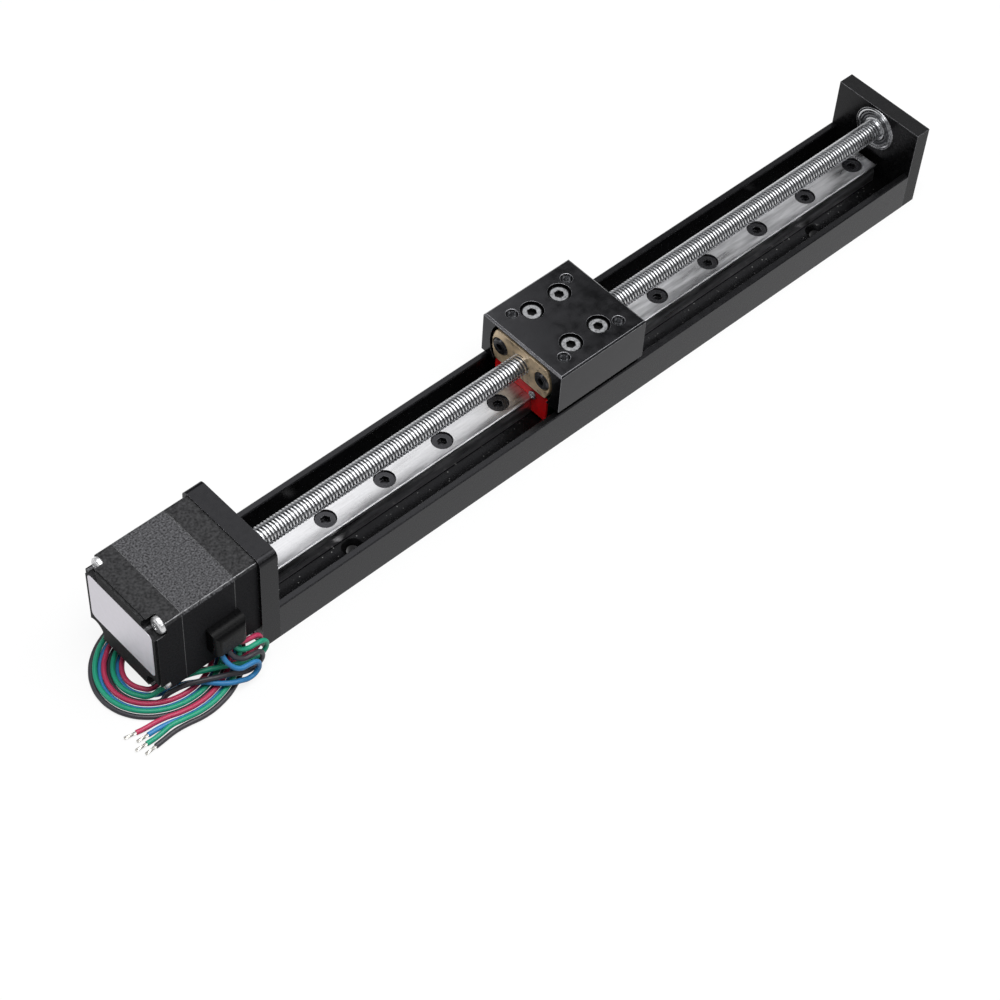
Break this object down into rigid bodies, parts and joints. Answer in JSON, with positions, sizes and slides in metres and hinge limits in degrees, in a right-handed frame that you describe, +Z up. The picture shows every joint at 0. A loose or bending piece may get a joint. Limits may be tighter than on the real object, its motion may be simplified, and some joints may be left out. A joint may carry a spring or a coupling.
{
  "type": "lead screw linear module",
  "caption": "Motor-driven linear module: a screw moves a flat carriage along a miniature guide rail in a channel base between two end plates.",
  "frame": {"origin": "middle of the underside of the base channel", "axes": "+X along the screw from the motor to the end plate, +Y across the channel, +Z up"},
  "size_m": [0.2883, 0.0376, 0.035],
  "materials": {
    "black_anodised": "satin black anodised aluminium",
    "rail_steel": "ground bearing steel",
    "bright_steel": "bright stainless steel",
    "screw_steel": "rolled bright steel",
    "black_oxide": "black oxide steel",
    "nut_brass": "matt brass",
    "cap_green": "dark green moulded plastic",
    "seal_red": "red wiper rubber",
    "ball_steel": "polished bearing steel",
    "motor_black": "black painted die casting",
    "lamination_black": "black painted lamination stack",
    "rotor_steel": "plain steel laminations",
    "magnet_grey": "sintered magnet",
    "copper": "enamelled copper wire",
    "bobbin_plastic": "natural moulded plastic",
    "outlet_black": "black moulded plastic",
    "wire_red": "red insulation",
    "wire_green": "green insulation",
    "wire_black": "black insulation",
    "wire_blue": "blue insulation",
    "tinned_copper": "tinned copper strands"
  },
  "bodies": {
    "frame": {"base_channel": "black_anodised", "motor_plate": "black_anodised", "end_plate": "black_anodised", "plate_screws": "black_oxide", "guide_rail": "rail_steel", "rail_screws": "black_oxide", "motor_front_cap": "motor_black", "stator_core": "lamination_black", "winding_bobbins": "bobbin_plastic", "stator_windings": "copper", "motor_rear_cap": "motor_black", "motor_mounting_screws": "black_oxide", "motor_through_screws": "bright_steel", "wave_washer": "screw_steel", "lead_outlet": "outlet_black", "front_bearing_outer": "rail_steel", "rear_bearing_outer": "rail_steel", "end_bearing_outer": "rail_steel", "end_bearing_shields": "bright_steel", "wire_red": "wire_red", "wire_green": "wire_green", "wire_black": "wire_black", "wire_blue": "wire_blue", "wire_tips": "tinned_copper"},
    "screw": {"lead_screw": "screw_steel", "rotor_core_front": "rotor_steel", "rotor_magnet": "magnet_grey", "rotor_core_rear": "rotor_steel", "front_bearing_inner": "rail_steel", "rear_bearing_inner": "rail_steel", "end_bearing_inner": "rail_steel"},
    "ball_sets": {"bearing_balls": "ball_steel"},
    "carriage": {"carriage_block": "black_anodised", "carriage_screws": "bright_steel", "guide_block": "rail_steel", "end_cap_near_motor": "cap_green", "end_cap_far": "cap_green", "end_seal_near_motor": "seal_red", "end_seal_far": "seal_red", "end_cap_screws": "bright_steel", "recirculating_balls": "ball_steel", "lead_nut": "nut_brass", "nut_screws": "black_oxide"}
  },
  "joints": [
    {"name": "screw_spin", "type": "hinge", "parent": "frame", "child": "screw", "pos_m": [0, 0, 0.0205], "axis": [1, 0, 0], "range_deg": [-19350, 16650]},
    {"name": "carriage_slide", "type": "slide", "parent": "frame", "child": "carriage", "axis": [1, 0, 0], "range_m": [-0.0925, 0.1075]},
    {"name": "ball_orbit", "type": "hinge", "parent": "frame", "child": "ball_sets", "pos_m": [0, 0, 0.0205], "axis": [1, 0, 0], "range_deg": [-7740, 6660]}
  ],
  "couplings": [
    {"joint": "screw_spin", "follows": "carriage_slide", "rad_per_m": -3141.6},
    {"joint": "ball_orbit", "follows": "carriage_slide", "rad_per_m": -1256.6}
  ]
}
